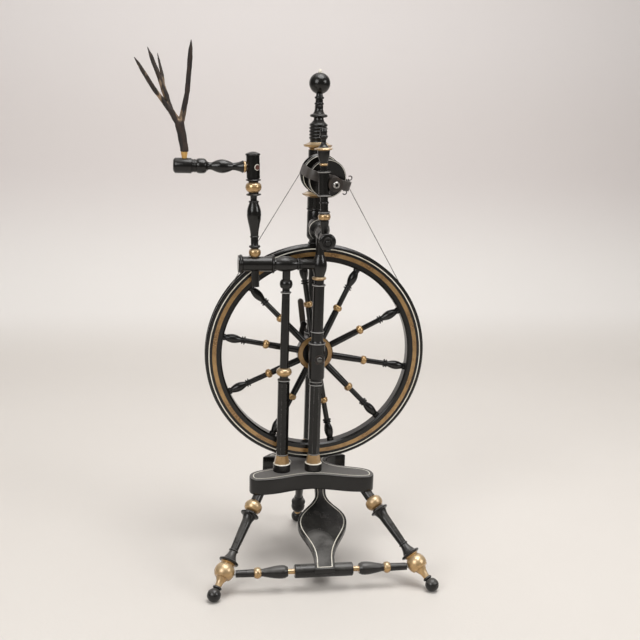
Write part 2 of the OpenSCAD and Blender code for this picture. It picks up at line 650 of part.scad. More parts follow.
// Hub: a turned drum with a gilded ring on its front face
module hub() color(black) placed() wheel_frame() difference() {
    turned([[hub_r - 3, hub_front - hub_w], [hub_r, hub_front - hub_w + 3],
        [hub_r, hub_front - 3], [hub_r - 2, hub_front - 1], [hub_r * 0.72, hub_front - 1],
        [hub_r * 0.68, hub_front - 3], [axle_r + 5, hub_front - 3],
        [axle_r + 4, hub_front + 3], [axle_r + 2, hub_front + 3]]);
    for (k = [0 : spoke_n - 1]) spoke_line(k) translate([0, 0, hub_r - spoke_end])
        cylinder(r = spoke_tenon_r, h = 2 * spoke_end);
    translate([0, 0, -hub_w]) cylinder(r = axle_r, h = 2 * hub_w);
}

// Axle and the bent iron crank with its pin
module axle() color(steel) placed() along_y([0, -block_r - 2.5, axle_z])
    cylinder(r = axle_r, h = crank_y + block_r + 2.5);
function crank_line(t) =
    let(d = [crank_pin[0], crank_pin[1] - axle_z], n = [-d[1], d[0]] / norm(d))
    t * d + n * crank_sway * sin(180 * t);
function crank_edge(t, side) = let(d = crank_line(t + 0.01) - crank_line(t - 0.01))
    crank_line(t) + side * crank_half * [-d[1], d[0]] / norm(d);
module crank() color(iron) placed() translate([0, crank_y + crank_t, axle_z])
    rotate([90, 0, 0]) union() {
        linear_extrude(crank_t) union() {
            polygon(concat([for (t = [0 : 0.0625 : 1]) crank_edge(t, 1)],
                [for (t = [1 : -0.0625 : 0]) crank_edge(t, -1)]));
            circle(r = axle_r + 2.5);
            translate(crank_line(1)) circle(r = crank_pin_r + 2);
        }
        translate([crank_line(1)[0], crank_line(1)[1], gap - crank_pin_len])
            cylinder(r = crank_pin_r, h = crank_pin_len - gap + over);
    }

// Bobbin: grooved whorl, core and front disc on the flyer's spindle
module bobbin_bore() translate([0, 0, -far]) cylinder(r = spindle_r + run, h = 3 * far);
module bobbin_whorl() color(black) placed() flyer_frame() difference() {
    turned(concat([[core_r + 4, -whorl_w / 2]], tube(-whorl_w / 2, -band_groove - 2.4, whorl_r),
        [[whorl_r - band_groove, -1.2], [whorl_r - band_groove, 1.2]],
        tube(band_groove + 2.4, whorl_w / 2 - 1.5, whorl_r), [[whorl_r - 1.5, whorl_w / 2]]));
    bobbin_bore();
}
module bobbin_core() color(black) placed() flyer_frame() difference() {
    turned(swell(whorl_w / 2, disc_s, core_r + 2, core_r + 2, -2));
    bobbin_bore();
}
module bobbin_disc() color(black) placed() flyer_frame() difference() {
    turned(concat([[bobbin_disc_r - 1, disc_s]],
        bead(disc_s + disc_w / 2, disc_w, bobbin_disc_r - 1, 1),
        [[core_r + 5, disc_s + disc_w]], tube(disc_s + disc_w, core_front, core_r)));
    bobbin_bore();
}

// Flyer: spindle with its orifice tube, bent arms and wire hooks
module flyer_spindle() color(steel) placed() flyer_frame() difference() {
    turned(concat(tube(spindle_back - 4, core_front + gap, spindle_r),
        tube(core_front + gap, orifice_s - 1, tube_r), [[tube_r - 1, orifice_s]]));
    translate([0, 0, orifice_s - orifice_len]) cylinder(r = orifice_r, h = orifice_len + over);
    translate([0, 0, orifice_s - orifice_len + 2]) rotate([0, 90, arm_turn + 90])
        cylinder(r = orifice_r, h = 20);
}
module rounded_span(half, front, r) {
    translate([-half, 0]) square([2 * half, front - r]);
    translate([-half + r, 0]) square([2 * (half - r), front]);
    for (x = [-1, 1]) translate([x * (half - r), front - r]) circle(r = r);
}
module flyer_arms() color(brown) placed() flyer_frame() rotate(arm_turn) difference() {
    union() {
        rotate([90, 0, 0]) translate([0, 0, -arm_w / 2]) linear_extrude(arm_w) difference() {
            rounded_span(arm_half, arms_front, bend_r);
            rounded_span(arm_half - arm_t, arms_front - arm_t, bend_r - arm_t);
            translate([-arm_half - over, -over]) square([2 * arm_half + 2 * over, arms_back + over]);
        }
        translate([0, 0, core_front + gap]) cylinder(r = tube_r + 4, h = arms_front - core_front + 2);
    }
    translate([0, 0, core_front - over]) cylinder(r = tube_r, h = 40);
}
module hook(edge) translate([arm_half - arm_t / 2, edge * arm_w / 2, arms_front - bend_r - 6]) {
    rotate([-90 * edge, 0, 0]) cylinder(r = wire_r, h = hook_stem + wire_r, $fn = 16);
    translate([0, edge * (hook_r + hook_stem), 0]) rotate(-130)
        rotate_extrude(angle = 280, $fn = 24) translate([hook_r, 0]) circle(r = wire_r, $fn = 16);
}
module flyer_hooks() color(iron) placed() flyer_frame() rotate(arm_turn)
    for (edge = [-1, 1]) hook(edge);

// Distaff: stem that turns in the cross arm, its arm, and the forked branch on a gilded peg
function stem_outline() = let(s = stem_seat, r = stem_rise) concat(
    tube(-42, s, tenon_r), bead(s + 7, 14, 7, 4.2), bead(s + 18, 5, 7, 3.5),
    tube(s + 21, s + 34, 6.8), bead(s + 36, 4, 6.8, 1.5),
    swell(s + 38, s + 97, 7, 8, 5.3, 1.6), bead(s + 99, 4, 7, 2.4),
    swell(s + 101, r - 51, 6, 6.5, -0.4), bead(r - 49, 4, 9, 4.8),
    bead(r - 36, 17, 9, 5.7), bead(r - 23, 4, 9, 4.8),
    tube(r - 20, r + 20, stem_block_r), bead(r + 22, 4, stem_block_r, 1.4),
    ball(r + 3, 24, 62, 86));
module distaff_stem() color(black) placed() difference() {
    stem_frame() turned(stem_outline());
    along_x([block_x - far, 0, arm_z]) cylinder(r = arm_end_r, h = far - arm_end);
    peg_line() cylinder(r = stem_peg_r, h = far);
}
module peg_line() translate([block_x + 1, 0, arm_z]) rotate([90, 0, stem_peg_turn])
    translate([0, 0, -stem_peg_in]) children();
module stem_peg() color(brown) placed() peg_line()
    cylinder(r = stem_peg_r, h = stem_block_r + stem_peg_in + 0.3);
function arm_outline() = let(far_end = -reach, near = -stem_block_r) concat(
    swell(far_end, far_end + 3, 9, 13, 0.5), tube(far_end + 4, far_end + 32, arm_r),
    bead(far_end + 34, 3, 11, 0.8), bead(far_end + 38, 3, 11, 0.8), bead(far_end + 49, 17, 11, 2.4),
    swell(far_end + 59, far_end + 65.5, 9, 6.6, -1), swell(far_end + 67.5, near - 24.5, 6.6, 6.6, 5.6),
    swell(near - 23.5, near - 5.8, 6.4, 11.4, -1), bead(near - 3, 5, 8.4, 2.4),
    tube(near - 0.4, -arm_end, arm_end_r));
module distaff_arm() color(black) placed() difference() {
    along_x([block_x, 0, arm_z]) turned(arm_outline());
    translate([block_x - branch_at, 0, arm_z - peg_depth]) cylinder(r = branch_peg_r + run, h = far);
}
module branch_peg() color(gilt) placed() translate([block_x - branch_at, 0, arm_z])
    turned([[branch_peg_r, gap - peg_depth], [branch_peg_r, arm_r + 0.4],
        [branch_peg_r + 1.4, arm_r + peg_h - 3], [branch_peg_r + 1.4, arm_r + peg_h]]);
module distaff_branch() color(bark) placed() translate([block_x - branch_at, 0, branch_foot_z])
    union() {
        swept(trunk, trunk_r);
        swept(right_tine, right_tine_r);
        swept(left_limb, left_limb_r);
        swept(outer_tine, outer_tine_r);
        swept(middle_tine, middle_tine_r);
        swept(back_tine, back_tine_r);
    }

// Treadle: turned bar on two pins between the front legs, and a pear-shaped board let into it
function bar_end(b) = let(k = (treadle_half - b) / 104.6) concat(
    [[bar_r - 1.5, b], [4.9, b + 0.5]], tube(b + 0.5, b + 11.7 * k, 4.9),
    swell(b + 12 * k, b + 55 * k, 9, 7.4, 3.6, 0.6), tube(b + 55.5 * k, b + 59 * k, 7),
    bead(b + 66 * k, 12.5 * k, 7, 3.7), swell(b + 73 * k, treadle_half, 7.4, 6.6, 0));
function board_side(lip) = let(h = board_half, n = board_len, neck = fork_half - 1.5) concat(
    [[board_front, -lip]],
    curve([board_front, n * 0.08], [board_front + 2, n * 0.26], [h, n * 0.34], [h, n * 0.475]),
    curve([h, n * 0.475], [h, n * 0.625], [neck, n * 0.67], [neck, n * 0.82]),
    [[fork_half, n + 8]]);
function skewed(points) = [for (p = points)
    [p[0] + board_foot_x + (treadle_end_x - board_foot_x) * p[1] / board_len, p[1]]];
module board_slab(lip, t) treadle_frame() linear_extrude(t)
    polygon(skewed(concat(board_side(lip), mirrored(board_side(lip)))));
module treadle_bar() color(black) placed() difference() {
    along_x([treadle_x, treadle_y, treadle_z]) turned(concat(
        [for (p = reversed(bar_end(bar_half - bar_mid))) [p[0], -p[1]]],
        tube(bar_mid - bar_half + 1.5, bar_mid + bar_half - 1.5, bar_r), bar_end(bar_half + bar_mid)));
    board_slab(far, far);
    for (x = [-1, 1]) along_x([treadle_x + x * (treadle_half - 6), treadle_y, treadle_z])
        translate([0, 0, -8]) cylinder(r = pin_r, h = 16);
}
module treadle_pins() color(steel) placed() for (x = [-1, 1])
    along_x([treadle_x + x * treadle_half, treadle_y, treadle_z])
        translate([0, 0, x > 0 ? -pin_in : pin_in - pin_len]) cylinder(r = pin_r, h = pin_len);
module treadle_board() color(black) placed() difference() {
    board_slab(board_lip, board_t);
    treadle_frame() translate([treadle_end_x - footman_w / 2 - fork_gap, board_len - 10, -far / 2])
        cube([footman_w + 2 * fork_gap, far / 2, far]);
    along_x([treadle_end_x - far, footman_y, treadle_end_z]) cylinder(r = footman_pin_r, h = 2 * far);
}
module footman_pin() color(steel) placed() along_x([treadle_end_x - fork_half, footman_y, treadle_end_z])
    cylinder(r = footman_pin_r, h = 2 * fork_half);
module footman() color(brown) placed() difference() {
    translate([treadle_end_x, footman_y + footman_t / 2, treadle_end_z]) rotate([90, 0, 0])
        rotate(-footman_lean) linear_extrude(footman_t) difference() {
            union() {
                circle(r = footman_w / 2);
                translate([-footman_w / 2, 0]) square([footman_w, footman_len + footman_top]);
                translate([0, footman_len + footman_top]) circle(r = footman_w / 2);
            }
            translate([0, footman_len]) circle(r = crank_pin_r + gap);
        }
    along_x([treadle_end_x - far, footman_y, treadle_end_z])
        cylinder(r = footman_pin_r + run, h = 2 * far);
}

table();
front_left_leg();
front_right_leg();
rear_leg();
main_post();
rear_post();
distaff_post();
cross_arm();
flyer_bar();
front_maiden();
front_bearing();
rear_bearing();
front_axle_bush();
rear_axle_bush();
drive_band();
felloe(1);  // felloe_1
felloe(2);  // felloe_2
felloe(3);  // felloe_3
felloe(4);  // felloe_4
spoke(1);  // spoke_1
spoke(2);  // spoke_2
spoke(3);  // spoke_3
spoke(4);  // spoke_4
spoke(5);  // spoke_5
spoke(6);  // spoke_6
spoke(7);  // spoke_7
spoke(8);  // spoke_8
spoke(9);  // spoke_9
spoke(10);  // spoke_10
hub();
axle();
crank();
bobbin_whorl();
bobbin_core();
bobbin_disc();
flyer_spindle();
flyer_arms();
flyer_hooks();
distaff_stem();
stem_peg();
distaff_arm();
branch_peg();
distaff_branch();
treadle_bar();
treadle_pins();
treadle_board();
footman_pin();
footman();
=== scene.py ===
"""Upright spinning wheel in black lacquer with gilt and cream lines: finishes and fine shapes."""
import json
import math

import bmesh
import bpy
from mathutils import Matrix, Vector


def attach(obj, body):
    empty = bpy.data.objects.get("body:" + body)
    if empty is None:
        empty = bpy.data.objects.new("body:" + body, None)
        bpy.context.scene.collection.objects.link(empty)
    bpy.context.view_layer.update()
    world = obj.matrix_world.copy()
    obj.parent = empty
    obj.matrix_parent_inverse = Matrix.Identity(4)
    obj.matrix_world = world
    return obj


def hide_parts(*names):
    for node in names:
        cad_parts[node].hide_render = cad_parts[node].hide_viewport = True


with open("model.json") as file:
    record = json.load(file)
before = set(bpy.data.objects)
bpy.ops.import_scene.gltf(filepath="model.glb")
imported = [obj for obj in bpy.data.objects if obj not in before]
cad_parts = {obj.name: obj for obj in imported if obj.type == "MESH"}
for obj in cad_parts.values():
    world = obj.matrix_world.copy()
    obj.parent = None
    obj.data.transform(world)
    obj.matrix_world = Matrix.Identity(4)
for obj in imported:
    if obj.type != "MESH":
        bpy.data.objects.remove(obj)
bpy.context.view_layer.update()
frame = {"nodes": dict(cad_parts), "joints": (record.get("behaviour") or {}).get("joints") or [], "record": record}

MM = 0.001
ORIGIN = Vector((0, 0, 0))
SIDE = Vector((1, 0, 0))
FRONT = Vector((0, -1, 0))
UP = Vector((0, 0, 1))

nodes = frame["nodes"]
joints = {joint["name"]: joint for joint in frame["joints"]}
bodies = frame["record"]["behaviour"]["bodies"]
body_of = {node: body for body, members in bodies.items() for node in members}
axle = Vector(joints["wheel_spin"]["pos_m"])
flyer_mid = Vector(joints["flyer_spin"]["pos_m"])
flyer_line = Vector(joints["flyer_spin"]["axis"])

# Places are in millimetres: x from the axle, y from the main post, z from the floor
WHEEL_Y = 39.5


def at(x, y, z):
    """A place as a point of the frame."""
    return Vector((axle.x + x * MM, axle.y + (y - WHEEL_Y) * MM, z * MM))


def leaning(degrees):
    """The upright direction, leaning to the right."""
    lean = math.radians(degrees)
    return Vector((math.sin(lean), 0, math.cos(lean)))


# Camera of the photograph
CAMERA_AT = (-298.4, -1792.4, 887.7)
CAMERA_TURNS = (9.489, 12.698, 1.850)
CAMERA_LENS = 56.25
CAMERA_SENSOR = 36
CAMERA_REACH = 40


def photo_camera():
    yaw, pitch, roll = (math.radians(turn) for turn in CAMERA_TURNS)
    ahead = Vector((math.sin(yaw) * math.cos(pitch), math.cos(yaw) * math.cos(pitch), -math.sin(pitch)))
    right = Vector((math.cos(yaw), -math.sin(yaw), 0))
    up = right.cross(ahead)
    side = right * math.cos(roll) + up * math.sin(roll)
    top = up * math.cos(roll) - right * math.sin(roll)
    camera = bpy.data.objects.new("camera", bpy.data.cameras.new("camera"))
    camera.data.sensor_width = CAMERA_SENSOR
    camera.data.lens = CAMERA_LENS
    camera.data.clip_end = CAMERA_REACH
    turn = Matrix((side, top, -ahead)).transposed().to_4x4()
    camera.matrix_world = Matrix.Translation(at(*CAMERA_AT)) @ turn
    bpy.context.scene.collection.objects.link(camera)
    bpy.context.scene.camera = camera


photo_camera()


# Shader arithmetic
class Tone:
    """A shader value: arithmetic on it adds Math nodes."""

    def __init__(self, finish, socket):
        self.finish, self.socket = finish, socket

    def worked(self, operation, *terms):
        return self.finish.node("ShaderNodeMath", {"operation": operation}, dict(enumerate(terms)))

    def __add__(self, other):
        return self.worked("ADD", self, other)

    __radd__ = __add__

    def __sub__(self, other):
        return self.worked("SUBTRACT", self, other)

    def __rsub__(self, other):
        return self.worked("SUBTRACT", other, self)

    def __mul__(self, other):
        return self.worked("MULTIPLY", self, other)

    __rmul__ = __mul__

    def __truediv__(self, other):
        return self.worked("DIVIDE", self, other)

    def __abs__(self):
        return self.worked("ABSOLUTE", self)

    def rise(self, low, high):
        """0 below low, 1 above high, smooth between."""
        return self.finish.node("ShaderNodeMapRange", {"interpolation_type": "SMOOTHSTEP"},
                                {0: self, 1: low, 2: high, 3: 0.0, 4: 1.0})

    def band(self, low, high, soft):
        """1 between low and high, 0 outside, with soft edges."""
        return self.rise(low - soft, low + soft) * (1 - self.rise(high - soft, high + soft))


class Finish:
    """A material with its principled shader and the piece's own coordinates."""

    def __init__(self, name):
        self.material = bpy.data.materials.new(name)
        self.material.use_nodes = True
        self.tree = self.material.node_tree
        self.shader = self.tree.nodes["Principled BSDF"]
        self.place = self.node("ShaderNodeTexCoord", {}, {}, "Object")

    def node(self, kind, settings, sockets, out=0):
        made = self.tree.nodes.new(kind)
        for key, value in settings.items():
            setattr(made, key, value)
        for key, value in sockets.items():
            self.feed(made.inputs[key], value)
        return Tone(self, made.outputs[out])

    def feed(self, socket, value):
        if isinstance(value, Tone):
            self.tree.links.new(value.socket, socket)
        else:
            socket.default_value = value

    def wear(self, **sockets):
        """Feeds the shader's sockets."""
        for name, value in sockets.items():
            self.feed(self.shader.inputs[name.replace("_", " ")], value)

    def noise(self, scale, detail=3, rough=0.55, vector=None):
        return self.node("ShaderNodeTexNoise", {}, {
            "Vector": vector or self.place, "Scale": scale, "Detail": detail, "Roughness": rough})

    def stretched(self, scale):
        """The piece's coordinates, scaled apart in x, y and z."""
        return self.node("ShaderNodeMapping", {}, {"Vector": self.place, "Scale": scale})

    def along(self, start, axis):
        """Millimetres along an axis from its start."""
        dot = self.node("ShaderNodeVectorMath", {"operation": "DOT_PRODUCT"},
                        {0: self.place, 1: axis / MM}, 1)
        return dot - start.dot(axis) / MM

    def above_floor(self):
        """Millimetres above the floor."""
        return self.along(ORIGIN, UP)

    def out_from(self, start, axis):
        """Millimetres out from an axis."""
        arm = self.node("ShaderNodeVectorMath", {"operation": "SUBTRACT"}, {0: self.place, 1: start})
        across = self.node("ShaderNodeVectorMath", {"operation": "CROSS_PRODUCT"}, {0: arm, 1: axis / MM})
        return self.node("ShaderNodeVectorMath", {"operation": "LENGTH"}, {0: across}, 1)

    def facing_up(self):
        """How far the surface of the piece faces upwards, from -1 to 1."""
        normal = self.node("ShaderNodeTexCoord", {}, {}, "Normal")
        return self.node("ShaderNodeSeparateXYZ", {}, {0: normal}, 2)

    def mix(self, share, a, b):
        return self.node("ShaderNodeMix", {"data_type": "RGBA"}, {0: share, 6: a, 7: b}, 2)

    def relief(self, height, depth):
        """Small bumps of a depth in millimetres."""
        normal = self.node("ShaderNodeBump", {}, {"Strength": 1.0, "Distance": depth * MM, "Height": height})
        self.wear(Normal=normal)


# Colours, in linear light
BLACK = (0.0046, 0.0042, 0.0036, 1)
RUBBED = (0.034, 0.025, 0.019, 1)
DUST = (0.050, 0.047, 0.042, 1)
# Grey of rubbed wear and dust, also laid on upper faces and on the table top as painted sheen
WORN_AND_SHEEN = (0.125, 0.120, 0.113, 1)
GILT = (0.52, 0.325, 0.128, 1)
GILT_DEEP = (0.23, 0.120, 0.038, 1)
# Painted highlight colour for the tops of the gilt
GILT_HIGHLIGHT = (0.74, 0.60, 0.40, 1)
CREAM = (0.80, 0.77, 0.68, 1)
CREAM_OLD = (0.55, 0.48, 0.36, 1)
# Grey of the thin painted highlights on ring edges and on the columns' edges
HIGHLIGHT_GREY = (0.52, 0.51, 0.49, 1)
STEEL, STEEL_RUST = (0.42, 0.41, 0.395, 1), (0.13, 0.095, 0.07, 1)
IRON, IRON_RUST = (0.045, 0.043, 0.041, 1), (0.035, 0.024, 0.018, 1)
AXLE_IRON, AXLE_RUST = (0.13, 0.127, 0.122, 1), (0.05, 0.036, 0.028, 1)
BENTWOOD, BENTWOOD_DEEP = (0.060, 0.052, 0.046, 1), (0.020, 0.017, 0.015, 1)
ASH, ASH_DEEP = (0.075, 0.058, 0.044, 1), (0.022, 0.017, 0.013, 1)
RED_WOOD, RED_DEEP = (0.12, 0.030, 0.018, 1), (0.035, 0.012, 0.009, 1)
YELLOW_WOOD, YELLOW_DEEP = (0.72, 0.44, 0.13, 1), (0.50, 0.27, 0.07, 1)
BARK, BARK_RIDGE, BARK_PEELED = (0.006, 0.004, 0.0035, 1), (0.036, 0.019, 0.012, 1), (0.34, 0.23, 0.14, 1)
LEATHER, GREASE = (0.035, 0.024, 0.017, 1), (0.010, 0.009, 0.008, 1)
TWINE, TWINE_SOIL = (0.32, 0.305, 0.28, 1), (0.14, 0.13, 0.12, 1)

# Directions of the wood's grain, as scales of the coordinates
NO_GRAIN = (1, 1, 1)
GRAIN_X = (0.12, 1, 1)
GRAIN_Y = (1, 0.12, 1)
GRAIN_Z = (1, 1, 0.12)
BOARD_GRAIN = (1, 0.15, 1)

# Black lacquer
SHEEN = 0.44
LINE_WAVER = 0.7
SOFT_EDGE = 0.22


class Lacquer(Finish):
    """Black lacquer that takes wear and paint in turn."""

    def __init__(self, name, grain, dust, age, satin):
        super().__init__(name)
        self.dust, self.age, self.satin = dust, age, satin
        self.broad = self.noise(30, 4, 0.6)
        self.fine = self.noise(520, 3, 0.6)
        self.strokes = self.noise(220, 3, 0.6, self.stretched(grain))
        self.chips = (self.fine * 0.5 + self.strokes * 0.5).rise(0.60, 0.66)
        self.rough = 0.11 + self.broad * 0.11 + self.strokes * 0.08
        self.height = self.strokes * 0.5 + self.fine * 0.3
        rubbed = (self.broad * 0.55 + self.strokes * 0.45).rise(0.56, 0.68)
        self.colour = self.mix(rubbed * 0.35, BLACK, RUBBED)
        self.over(self.fine.rise(0.62, 0.76) * 0.2, DUST)

    def over(self, share, paint, rough=0):
        """Lays a paint over a share of the surface, and makes it rougher there."""
        self.colour = self.mix(share, self.colour, paint)
        if rough:
            self.rough = self.rough + share * rough

    def dusted(self):
        """Dust settles in patches on what faces up, and the same patches are painted top light: upper faces
        painted paler as if lit from above.
        """
        patches = 0.45 + 0.55 * self.broad.rise(0.35, 0.65)
        self.over(self.facing_up().rise(0.1, 0.9) * patches * self.dust, WORN_AND_SHEEN, 0.2)

    def gilded(self, mask):
        """Gilt leaf, worn and chipped, with a painted highlight that makes it paler on top where the piece takes
        dust.
        """
        gilt = mask * (1 - self.chips * 0.65)
        worn = self.broad.rise(0.38, 0.66) * 0.5 + self.fine.rise(0.5, 0.75) * 0.3 + self.age
        leaf = self.mix(worn, GILT, GILT_DEEP)
        if self.dust:
            leaf = self.mix(self.facing_up().rise(-0.1, 0.9) * 0.5, leaf, GILT_HIGHLIGHT)
        self.over(gilt, leaf, self.satin)
        self.wear(Metallic=gilt * 0.62, Coat_Weight=gilt, Coat_Roughness=0.14 + self.satin)

    def creamed(self, mask):
        """Cream paint, yellowed in patches and chipped; at a collar's foot and on the bobbin's flanges the cream
        line is a painted highlight.
        """
        aged = self.mix(self.broad.rise(0.4, 0.7) * 0.6, CREAM, CREAM_OLD)
        self.over(mask * (1 - self.chips * 0.75), aged, 0.25)

    def greyed(self, mask):
        """Thin grey lines of painted highlight on ring edges, broken up in places."""
        self.over(mask * (1 - self.chips) * (0.28 + self.broad * 0.7), HIGHLIGHT_GREY)

    def banded(self, measure, bands, where):
        """Painted bands, (low, high, paint) on the measure in millimetres, with faint turning marks."""
        line = measure + (self.noise(95, 2, 0.5) - 0.5) * LINE_WAVER
        marks = self.node("ShaderNodeTexNoise", {"noise_dimensions": "1D"},
                          {"W": line, "Scale": 1.6, "Detail": 3.0})
        self.height = self.height + 0.6 * marks
        masks = {}
        for low, high, paint in bands:
            mask = line.band(low, high, min(SOFT_EDGE, (high - low) / 4))
            masks[paint] = masks[paint] + mask if paint in masks else mask
        for paint, lay in (("gilt", self.gilded), ("cream", self.creamed), ("highlight_line", self.greyed)):
            if paint in masks:
                lay(masks[paint] * where)

    def done(self):
        self.relief(self.height, 0.08)
        self.wear(Base_Color=self.colour, Roughness=self.rough, Specular_IOR_Level=SHEEN)
        return self.material


def lacquered(name, measure=None, bands=(), only=None, grain=NO_GRAIN, wear_and_sheen=None, ring=None, edges=None,
              dust=0.3, age=0, satin=0.05):
    """Black lacquer with its wear and its bands.

    The measure of the bands, where they are, the grey top (wear, and on the table also painted sheen), the ring
    and the edges are functions of the finish.
    Dust says how dusty the piece is, and how strongly its upper faces and the tops of its gilt are painted paler
    as painted top light; age and satin say how worn and how rough its gilt.
    """
    f = Lacquer(name, grain, dust, age, satin)
    if dust:
        f.dusted()
    if wear_and_sheen:
        f.over(wear_and_sheen(f), WORN_AND_SHEEN, 0.35)
    if ring:
        f.over(ring(f), CREAM)
    if edges:
        # Pale lines along the edges: rubbed paint and painted edge highlight
        f.over(edges(f) * (f.broad * 0.5 + f.fine * 0.5).rise(0.44, 0.58), HIGHLIGHT_GREY)
    if bands:
        f.banded(measure(f), bands, only(f) if only else 1)
    return f.done()


# Other finishes
def cream_line(name):
    """The hand-drawn cream line on the table and the treadle."""
    f = Finish(name)
    worn = (f.noise(150, 4, 0.65) * 0.6 + f.noise(700, 2, 0.5) * 0.4).rise(0.56, 0.68)
    colour = f.mix(f.noise(40, 3).rise(0.4, 0.7) * 0.5, CREAM, CREAM_OLD)
    f.wear(Base_Color=f.mix(worn * 0.7, colour, BLACK), Roughness=0.42 + worn * 0.1)
    f.relief(f.noise(600, 3), 0.08)
    return f.material


def forged(name, tint, rust, rough):
    """Metal with scale, wear and a little rust."""
    f = Finish(name)
    broad = f.noise(60, 4, 0.6)
    fine = f.noise(900, 3, 0.6)
    spots = (broad * 0.5 + fine * 0.5).rise(0.52, 0.64)
    f.wear(Base_Color=f.mix(spots * 0.6, tint, rust), Metallic=1 - spots * 0.55,
           Roughness=rough + spots * 0.3 + fine * 0.1)
    f.relief(broad * 0.4 + fine * 0.6, 0.10)
    return f.material


def plain_wood(name, pale, deep, grain, rough):
    """Bare or stained wood with grain along a direction."""
    f = Finish(name)
    streaks = f.noise(60, 5, 0.65, f.stretched(grain))
    pores = f.noise(420, 3, 0.6, f.stretched(grain))
    figure = streaks.rise(0.35, 0.68) * 0.75 + pores.rise(0.55, 0.7) * 0.25
    f.wear(Base_Color=f.mix(figure, pale, deep), Roughness=rough + pores * 0.15)
    f.relief(streaks * 0.5 + pores * 0.5, 0.18)
    return f.material


def bark(name):
    """Dark bark with ridges along the limbs and, below the tips, pale patches where it has peeled."""
    f = Finish(name)
    ridges = f.noise(170, 5, 0.65, f.stretched((1, 1, 0.22)))
    knots = f.noise(70, 3, 0.6)
    below_tips = 1 - f.above_floor().rise(912, 932)
    peeled = f.noise(42, 3, 0.6, f.stretched((1, 1, 0.4))).rise(0.54, 0.62) * below_tips
    colour = f.mix(ridges.rise(0.35, 0.7), BARK, BARK_RIDGE)
    colour = f.mix(peeled * ridges.rise(0.3, 0.6) * 0.8, colour, BARK_PEELED)
    f.wear(Base_Color=colour, Roughness=0.55 + ridges * 0.25)
    f.relief(ridges * 0.7 + knots * 0.3, 0.6)
    return f.material


def leather(name):
    """Dark leather, greased in patches."""
    f = Finish(name)
    grain = f.node("ShaderNodeTexVoronoi", {"feature": "SMOOTH_F1"}, {"Vector": f.place, "Scale": 900.0})
    greased = f.noise(80, 4, 0.6).rise(0.35, 0.7)
    f.wear(Base_Color=f.mix(greased, LEATHER, GREASE), Roughness=0.42 + grain * 0.2)
    f.relief(grain, 0.2)
    return f.material


def twine(name):
    """Grey twine, soiled in patches."""
    f = Finish(name)
    fibres = f.noise(1600, 3, 0.6)
    soiled = f.noise(35, 3, 0.6).rise(0.35, 0.7)
    f.wear(Base_Color=f.mix(soiled, TWINE, TWINE_SOIL), Roughness=0.82 + fibres * 0.1)
    f.relief(fibres, 0.2)
    return f.material


# Hand work on meshes: lengths in millimetres, angles in degrees
MERGE = 0.004
CREASE = 34
BOARD_CREASE = 35
ROUND_CREASE = 60
EASED_ANGLE = 40
EASE_STEPS = 3


def only_selected(*objects):
    bpy.ops.object.select_all(action="DESELECT")
    for obj in objects:
        obj.select_set(True)
    bpy.context.view_layer.objects.active = objects[-1]


def copy_of(node, name):
    """The solid's own mesh, merged, as a piece to work on."""
    mesh = nodes[node].data.copy()
    obj = bpy.data.objects.new(name, mesh)
    bpy.context.scene.collection.objects.link(obj)
    mesh.materials.clear()
    only_selected(obj)
    bpy.ops.object.mode_set(mode="EDIT")
    bpy.ops.mesh.select_all(action="SELECT")
    bpy.ops.mesh.remove_doubles(threshold=MERGE * MM)
    bpy.ops.object.mode_set(mode="OBJECT")
    if mesh.has_custom_normals:
        bpy.ops.mesh.customdata_custom_splitnormals_clear()
    return obj


def smoothed(obj, angle):
    only_selected(obj)
    bpy.ops.object.shade_smooth_by_angle(angle=math.radians(angle))


def dressed(obj, material, *replaced):
    """Puts the finish on a piece and lets it stand for its solids."""
    obj.data.materials.append(material)
    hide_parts(*replaced)
    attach(obj, body_of[replaced[0]])
    return obj


def turned(node, material, angle=CREASE):
    """A turned piece: its own shape, smoothed between its lines."""
    obj = copy_of(node, "turned_" + node)
    smoothed(obj, angle)
    return dressed(obj, material, node)


def eased(node, material, width):
    """A sawn or forged piece with its edges eased."""
    obj = copy_of(node, "eased_" + node)
    only_selected(obj)
    bpy.ops.object.mode_set(mode="EDIT")
    bpy.ops.mesh.select_all(action="SELECT")
    bpy.ops.mesh.dissolve_limited(angle_limit=math.radians(1))
    bpy.ops.object.mode_set(mode="OBJECT")
    ease = obj.modifiers.new("ease", "BEVEL")
    ease.width = width * MM
    ease.segments = EASE_STEPS
    ease.limit_method = "ANGLE"
    ease.angle_limit = math.radians(EASED_ANGLE)
    bpy.ops.object.modifier_apply(modifier=ease.name)
    smoothed(obj, CREASE)
    return dressed(obj, material, node)


def pick_faces(obj, test):
    """Selects, in edit mode, the faces that pass the test, and no others."""
    bpy.ops.mesh.select_mode(type="FACE")
    bpy.ops.mesh.select_all(action="DESELECT")
    mesh = bmesh.from_edit_mesh(obj.data)
    for face in mesh.faces:
        face.select = test(face)
    mesh.select_flush_mode()
    bmesh.update_edit_mesh(obj.data)


def pick_edges(obj, test):
    """Selects, in edit mode, the edges that pass the test, and no others."""
    bpy.ops.mesh.select_mode(type="EDGE")
    bpy.ops.mesh.select_all(action="DESELECT")
    mesh = bmesh.from_edit_mesh(obj.data)
    for edge in mesh.edges:
        edge.select = test(edge)
    mesh.select_flush_mode()
    bmesh.update_edit_mesh(obj.data)


